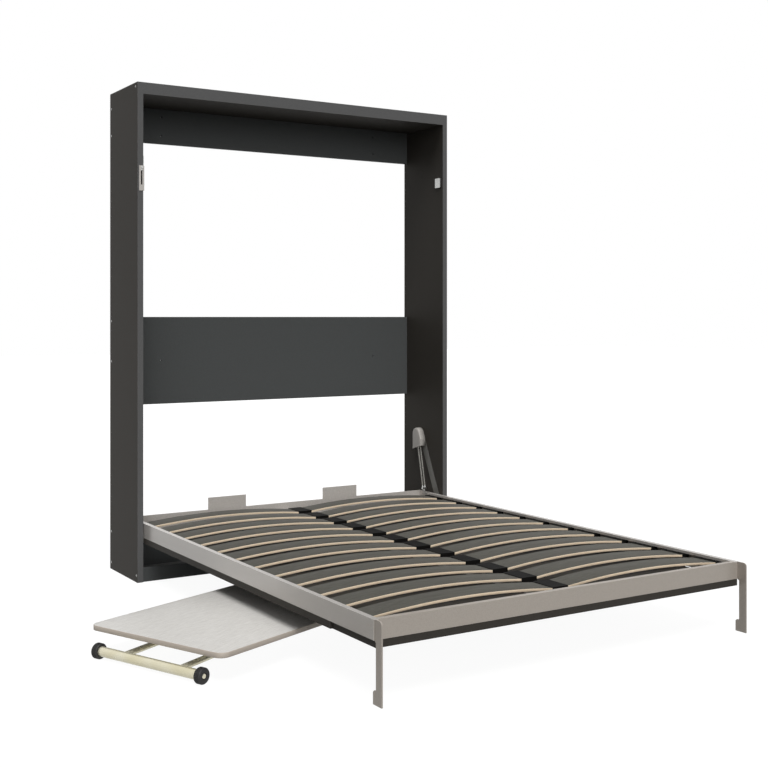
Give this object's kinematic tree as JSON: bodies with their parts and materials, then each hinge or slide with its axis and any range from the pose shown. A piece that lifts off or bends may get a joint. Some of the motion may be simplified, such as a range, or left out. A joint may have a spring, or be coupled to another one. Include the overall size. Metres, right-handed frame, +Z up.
{
  "type": "wall bed with fold down desk",
  "caption": "Open cabinet with a slatted bed frame that folds up between its side boards on gas springs, and a low folding desk on wheels that stands half under the lowered bed.",
  "frame": {"origin": "on the floor at the wall line, at the middle of the cabinet's width", "axes": "+X to the right along the cabinet, +Y into the wall, +Z up; the lowered bed reaches towards -Y"},
  "size_m": [2.244, 2.3855, 2.247],
  "materials": {
    "board": "anthracite laminated board",
    "steel": "warm silver powder coat",
    "plate": "dark grey steel plate",
    "zinc": "bright zinc",
    "black": "black plastic",
    "cover": "grey plastic",
    "slat": "beech with a dark grey face",
    "desk": "pale laminated board",
    "gold": "pale gold coat",
    "rubber": "black rubber"
  },
  "bodies": {
    "cabinet": {"side_board_left": "board", "side_board_right": "board", "top_board": "board", "plinth": "board", "top_back_rail": "board", "mid_back_board": "board", "low_back_rail": "board", "board_screws": "zinc", "hinge_plate_left": "plate", "hinge_plate_right": "plate", "plate_screws": "plate", "pivot_pins": "zinc", "spring_pins": "zinc", "strut_cover_left": "cover", "strut_cover_right": "cover", "latch_plate": "steel", "catch_cases": "black"},
    "bed": {"side_rail_left": "steel", "side_rail_right": "steel", "head_rail": "steel", "foot_rail": "steel", "centre_beam": "steel", "front_panel": "board", "head_plates": "steel", "panel_brackets": "zinc", "slats_left": "slat", "slats_right": "slat", "slat_holders_left": "black", "slat_holders_centre": "black", "slat_holders_right": "black", "pivot_brackets": "zinc", "pivot_bushes": "black", "stud_brackets": "zinc", "leg_pins": "steel"},
    "latch_thumb": {"latch_slider": "zinc"},
    "catch_left": {"catch_tongue_left": "zinc"},
    "catch_right": {"catch_tongue_right": "zinc"},
    "leg_left": {"leg_left": "steel"},
    "leg_right": {"leg_right": "steel"},
    "tubes_left": {"spring_tubes_left": "black"},
    "tubes_right": {"spring_tubes_right": "black"},
    "rods_left": {"spring_rods_left": "zinc"},
    "rods_right": {"spring_rods_right": "zinc"},
    "desk_axle": {"axle_right": "zinc"},
    "inner_frame": {"inner_posts": "gold", "foot_bar_right": "gold", "sliding_rod": "zinc"},
    "outer_frame": {"outer_posts": "gold", "foot_bar_left": "gold", "axle_left": "zinc", "centre_bolts": "zinc"},
    "desk": {"desk_top": "desk", "hinge_brackets": "zinc", "slide_rails": "zinc", "pivot_rod": "zinc"},
    "wheels_left": {"wheels_left": "rubber"},
    "wheels_right": {"wheels_right": "rubber"}
  },
  "joints": [
    {"name": "bed_fold", "type": "hinge", "parent": "cabinet", "child": "bed", "pos_m": [0, -0.3455, 0.1935], "axis": [-1, 0, 0], "range_deg": [0, 90]},
    {"name": "leg_left_fold", "type": "hinge", "parent": "bed", "child": "leg_left", "pos_m": [-0.8082, -2.3155, 0.24], "axis": [1, 0, 0], "range_deg": [0, 90]},
    {"name": "leg_right_fold", "type": "hinge", "parent": "bed", "child": "leg_right", "pos_m": [0.8082, -2.3155, 0.24], "axis": [1, 0, 0], "range_deg": [0, 90]},
    {"name": "tubes_left_swing", "type": "hinge", "parent": "cabinet", "child": "tubes_left", "pos_m": [-0.7985, -0.166, 0.55], "axis": [1, 0, 0], "range_deg": [0, 1.1]},
    {"name": "tubes_right_swing", "type": "hinge", "parent": "cabinet", "child": "tubes_right", "pos_m": [0.7985, -0.166, 0.55], "axis": [1, 0, 0], "range_deg": [0, 1.1]},
    {"name": "rods_left_slide", "type": "slide", "parent": "tubes_left", "child": "rods_left", "axis": [0, -0.2073, -0.9783], "range_m": [0, 0.213]},
    {"name": "rods_right_slide", "type": "slide", "parent": "tubes_right", "child": "rods_right", "axis": [0, -0.2073, -0.9783], "range_m": [0, 0.213]},
    {"name": "catch_left_slide", "type": "slide", "parent": "cabinet", "child": "catch_left", "axis": [-1, 0, 0], "range_m": [0, 0.0081]},
    {"name": "catch_right_slide", "type": "slide", "parent": "cabinet", "child": "catch_right", "axis": [1, 0, 0], "range_m": [0, 0.0081]},
    {"name": "latch_slide", "type": "slide", "parent": "cabinet", "child": "latch_thumb", "axis": [0, 0, -1], "range_m": [0, 0.05]},
    {"name": "desk_roll", "type": "slide", "parent": "cabinet", "child": "desk_axle", "axis": [0.9225, 0.3859, 0], "range_m": [-0.35, 0.25]},
    {"name": "inner_lift", "type": "hinge", "parent": "desk_axle", "child": "inner_frame", "pos_m": [-0.33323, -1.25147, 0.0275], "axis": [-0.3859, 0.9225, 0], "range_deg": [0, 46.2]},
    {"name": "outer_lift", "type": "hinge", "parent": "inner_frame", "child": "outer_frame", "pos_m": [-0.804, -1.4484, 0.0542], "axis": [0.3859, -0.9225, 0], "range_deg": [0, 92.39]},
    {"name": "top_level", "type": "hinge", "parent": "outer_frame", "child": "desk", "pos_m": [-0.43733, -1.29502, 0.075], "axis": [-0.3859, 0.9225, 0], "range_deg": [0, 46.2]},
    {"name": "wheels_left_roll", "type": "hinge", "parent": "outer_frame", "child": "wheels_left", "pos_m": [-1.27477, -1.64533, 0.0275], "axis": [-0.3859, 0.9225, 0], "range_deg": [-730, 522]},
    {"name": "wheels_right_roll", "type": "hinge", "parent": "desk_axle", "child": "wheels_right", "pos_m": [-0.33323, -1.25147, 0.0275], "axis": [-0.3859, 0.9225, 0], "range_deg": [-730, 522]}
  ],
  "couplings": [
    {"joint": "leg_left_fold", "follows": "bed_fold", "ratio": 1},
    {"joint": "leg_right_fold", "follows": "bed_fold", "ratio": 1},
    {"joint": "tubes_left_swing", "follows": "bed_fold", "ratio": 0.012129},
    {"joint": "tubes_right_swing", "follows": "bed_fold", "ratio": 0.012129},
    {"joint": "rods_left_slide", "follows": "bed_fold", "m_per_rad": 0.13546},
    {"joint": "rods_right_slide", "follows": "bed_fold", "m_per_rad": 0.13546},
    {"joint": "catch_left_slide", "follows": "bed_fold", "m_per_rad": 0.005093},
    {"joint": "catch_right_slide", "follows": "bed_fold", "m_per_rad": 0.005093},
    {"joint": "inner_lift", "follows": "bed_fold", "ratio": 0.51273},
    {"joint": "outer_lift", "follows": "bed_fold", "ratio": 1.0255},
    {"joint": "top_level", "follows": "bed_fold", "ratio": 0.51273},
    {"joint": "wheels_left_roll", "follows": "desk_roll", "rad_per_m": 36.364},
    {"joint": "wheels_right_roll", "follows": "desk_roll", "rad_per_m": 36.364}
  ]
}
